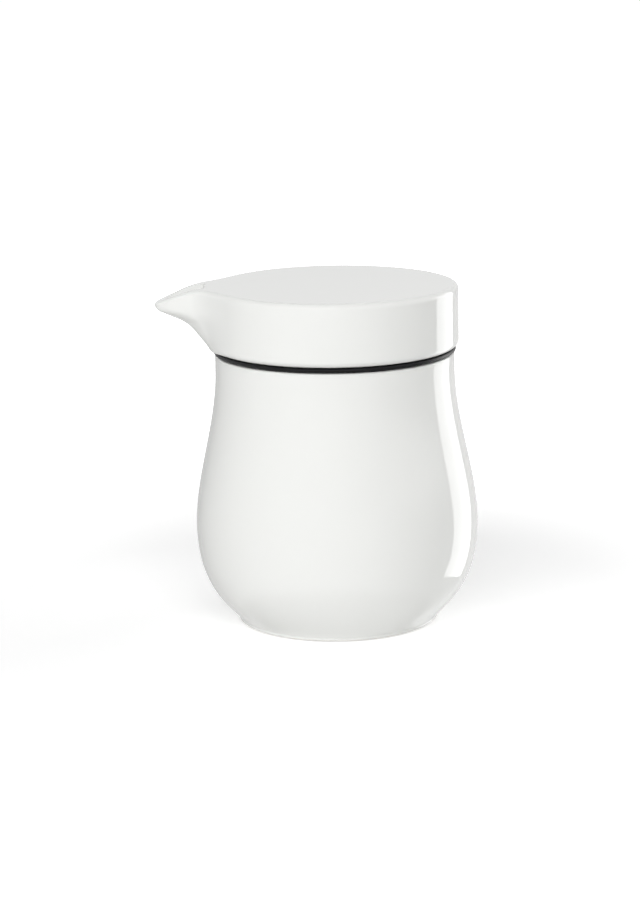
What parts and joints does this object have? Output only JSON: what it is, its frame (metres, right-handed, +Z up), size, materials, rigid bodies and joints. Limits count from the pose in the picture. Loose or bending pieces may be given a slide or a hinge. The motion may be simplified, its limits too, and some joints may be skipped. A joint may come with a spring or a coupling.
{
  "type": "lidded gravy boat",
  "caption": "White porcelain gravy boat with a bulbous body, a flat pouring lid with an open lip, and a black silicone ring that seals the lid in the neck.",
  "frame": {"origin": "centre of the bounding box at its base, on the surface that the foot ring stands on; the pot's axis is 6.45 mm from it towards +X because the spout makes the boat longer on the other side", "axes": "+Z up along the pot's axis, the spout points along -X, and the boat is symmetric about the XZ plane"},
  "size_m": [0.113, 0.1002, 0.12],
  "materials": {
    "porcelain": "glossy white glaze",
    "silicone": "satin black"
  },
  "bodies": {
    "pot": {"pot": "porcelain"},
    "seal": {"seal_ring": "silicone"},
    "lid": {"pouring_lid": "porcelain"}
  },
  "joints": [
    {"name": "lid_lift", "type": "slide", "parent": "pot", "child": "seal", "axis": [0, 0, 1], "range_m": [0, 0.06]},
    {"name": "lid_turn", "type": "hinge", "parent": "seal", "child": "lid", "pos_m": [0.00645, 0, 0.0981], "axis": [0, 0, 1], "continuous": true}
  ]
}
